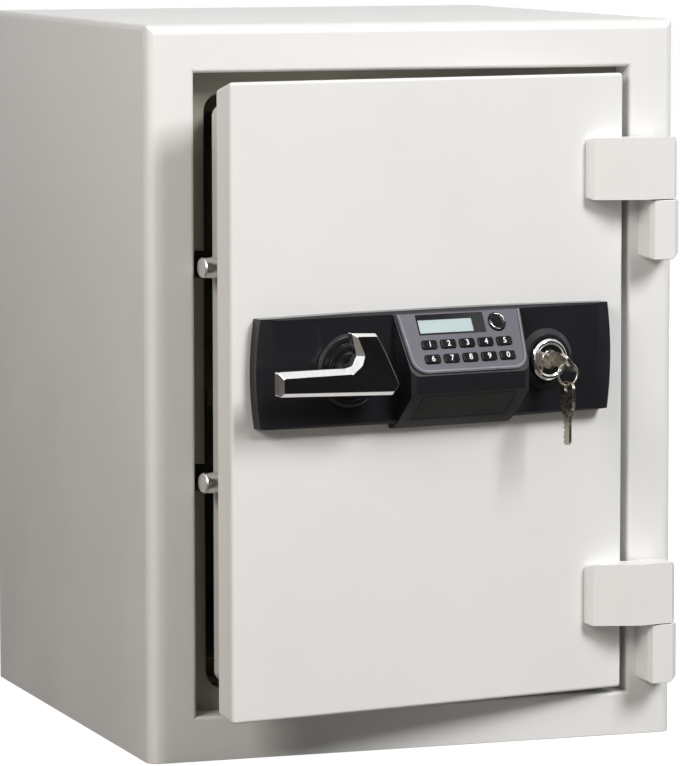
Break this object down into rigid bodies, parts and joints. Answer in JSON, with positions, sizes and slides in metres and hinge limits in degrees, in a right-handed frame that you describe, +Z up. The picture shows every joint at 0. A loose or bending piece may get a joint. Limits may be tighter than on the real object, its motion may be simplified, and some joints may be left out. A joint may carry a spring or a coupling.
{
  "type": "electronic safe",
  "caption": "Fire-resistant floor safe, door ajar on outside hinges, with a cranked lever, a slanted keypad console, an override key lock and sliding bolts",
  "frame": {"origin": "centre of the cabinet's footprint, on the floor", "axes": "+X to the right seen from the front, +Y from the front to the back, +Z up"},
  "size_m": [0.4, 0.5013, 0.522],
  "materials": {
    "paint": "off-white textured powder coat",
    "fill": "rough poured fire fill",
    "jamb": "light grey moulding, satin",
    "liner": "light grey satin paint",
    "steel": "zinc-plated steel",
    "chrome": "polished chrome plate",
    "key_metal": "nickel-plated, lightly worn",
    "seal": "black heat seal",
    "black_panel": "gloss black moulding",
    "black_frame": "satin black moulding",
    "bezel": "gunmetal lacquer",
    "screen": "pale green display, switched off",
    "board": "green solder mask",
    "cell": "wrapped dry cell",
    "key_cap": "black key cap"
  },
  "bodies": {
    "cabinet": {"outer_shell": "paint", "cabinet_insulation": "fill", "back_panel": "paint", "door_jamb": "jamb", "inner_liner": "liner", "strike_plate": "steel", "hinge_knuckle_upper": "paint", "hinge_knuckle_lower": "paint", "hinge_pin_upper": "steel", "hinge_pin_lower": "steel", "shelf": "liner", "shelf_pegs": "steel"},
    "door": {"door_skin": "paint", "door_backing": "fill", "door_inner_panel": "liner", "door_insulation": "fill", "door_seal": "seal", "hinge_leaf_upper": "paint", "hinge_leaf_lower": "paint", "dead_bars": "chrome", "bolt_guides": "steel", "lock_panel": "black_panel", "keypad_bezel": "bezel", "display_frame": "black_frame", "display_screen": "screen", "circuit_board": "board", "battery_holder": "black_frame", "batteries": "cell", "control_board": "board", "control_cable": "seal", "handle_collar": "black_panel", "spindle_bush": "steel", "solenoid": "steel", "lock_housing": "chrome"},
    "handle": {"handle": "chrome", "spindle": "steel", "drive_cam": "steel"},
    "bolt_work": {"bolt_bar": "steel", "bolt_upper": "chrome", "bolt_lower": "chrome"},
    "solenoid_pin": {"solenoid_pin": "steel"},
    "lock_core": {"lock_plug": "chrome", "lock_cam": "steel", "inserted_key": "key_metal"},
    "key_ring": {"key_ring": "key_metal"},
    "spare_key": {"spare_key": "key_metal"},
    "battery_cover": {"battery_cover": "black_panel"},
    "start_button": {"start_button": "key_cap"},
    "key_1": {"key_1": "key_cap"},
    "key_2": {"key_2": "key_cap"},
    "key_3": {"key_3": "key_cap"},
    "key_4": {"key_4": "key_cap"},
    "key_5": {"key_5": "key_cap"},
    "key_6": {"key_6": "key_cap"},
    "key_7": {"key_7": "key_cap"},
    "key_8": {"key_8": "key_cap"},
    "key_9": {"key_9": "key_cap"},
    "key_0": {"key_0": "key_cap"}
  },
  "joints": [
    {"name": "door_hinge", "type": "hinge", "parent": "cabinet", "child": "door", "pos_m": [0.184, -0.212, 0.26], "axis": [0, 0, 1], "range_deg": [-10, 90]},
    {"name": "handle_turn", "type": "hinge", "parent": "door", "child": "handle", "pos_m": [-0.06609, -0.27945, 0.2815], "axis": [0.1736, -0.9848, 0], "range_deg": [0, 70]},
    {"name": "bolt_throw", "type": "slide", "parent": "door", "child": "bolt_work", "axis": [-0.9848, -0.1736, 0], "range_m": [0, 0.01836]},
    {"name": "solenoid_lift", "type": "slide", "parent": "door", "child": "solenoid_pin", "axis": [0, 0, 1], "range_m": [0, 0.004]},
    {"name": "lock_turn", "type": "hinge", "parent": "door", "child": "lock_core", "pos_m": [0.08986, -0.23672, 0.2815], "axis": [0.1736, -0.9848, 0], "range_deg": [0, 90]},
    {"name": "ring_swing", "type": "hinge", "parent": "lock_core", "child": "key_ring", "pos_m": [0.09386, -0.25937, 0.2812], "axis": [0.9848, 0.1736, 0], "range_deg": [-60, 10]},
    {"name": "spare_key_swing", "type": "hinge", "parent": "key_ring", "child": "spare_key", "pos_m": [0.09386, -0.25937, 0.2652], "axis": [0.9848, 0.1736, 0], "range_deg": [-40, 20]},
    {"name": "battery_cover_pull", "type": "slide", "parent": "door", "child": "battery_cover", "axis": [0.1231, -0.698, -0.7055], "range_m": [0, 0.016]},
    {"name": "key_1_press", "type": "slide", "parent": "door", "child": "key_1", "axis": [-0.1552, 0.8804, -0.448], "range_m": [0, 0.0008], "stiffness_N_per_m": 800},
    {"name": "key_2_press", "type": "slide", "parent": "door", "child": "key_2", "axis": [-0.1552, 0.8804, -0.448], "range_m": [0, 0.0008], "stiffness_N_per_m": 800},
    {"name": "key_3_press", "type": "slide", "parent": "door", "child": "key_3", "axis": [-0.1552, 0.8804, -0.448], "range_m": [0, 0.0008], "stiffness_N_per_m": 800},
    {"name": "key_4_press", "type": "slide", "parent": "door", "child": "key_4", "axis": [-0.1552, 0.8804, -0.448], "range_m": [0, 0.0008], "stiffness_N_per_m": 800},
    {"name": "key_5_press", "type": "slide", "parent": "door", "child": "key_5", "axis": [-0.1552, 0.8804, -0.448], "range_m": [0, 0.0008], "stiffness_N_per_m": 800},
    {"name": "key_6_press", "type": "slide", "parent": "door", "child": "key_6", "axis": [-0.1552, 0.8804, -0.448], "range_m": [0, 0.0008], "stiffness_N_per_m": 800},
    {"name": "key_7_press", "type": "slide", "parent": "door", "child": "key_7", "axis": [-0.1552, 0.8804, -0.448], "range_m": [0, 0.0008], "stiffness_N_per_m": 800},
    {"name": "key_8_press", "type": "slide", "parent": "door", "child": "key_8", "axis": [-0.1552, 0.8804, -0.448], "range_m": [0, 0.0008], "stiffness_N_per_m": 800},
    {"name": "key_9_press", "type": "slide", "parent": "door", "child": "key_9", "axis": [-0.1552, 0.8804, -0.448], "range_m": [0, 0.0008], "stiffness_N_per_m": 800},
    {"name": "key_0_press", "type": "slide", "parent": "door", "child": "key_0", "axis": [-0.1552, 0.8804, -0.448], "range_m": [0, 0.0008], "stiffness_N_per_m": 800},
    {"name": "start_button_press", "type": "slide", "parent": "door", "child": "start_button", "axis": [-0.1552, 0.8804, -0.448], "range_m": [0, 0.0008], "stiffness_N_per_m": 800}
  ],
  "couplings": [
    {"joint": "bolt_throw", "follows": "handle_turn", "m_per_rad": 0.015023}
  ]
}
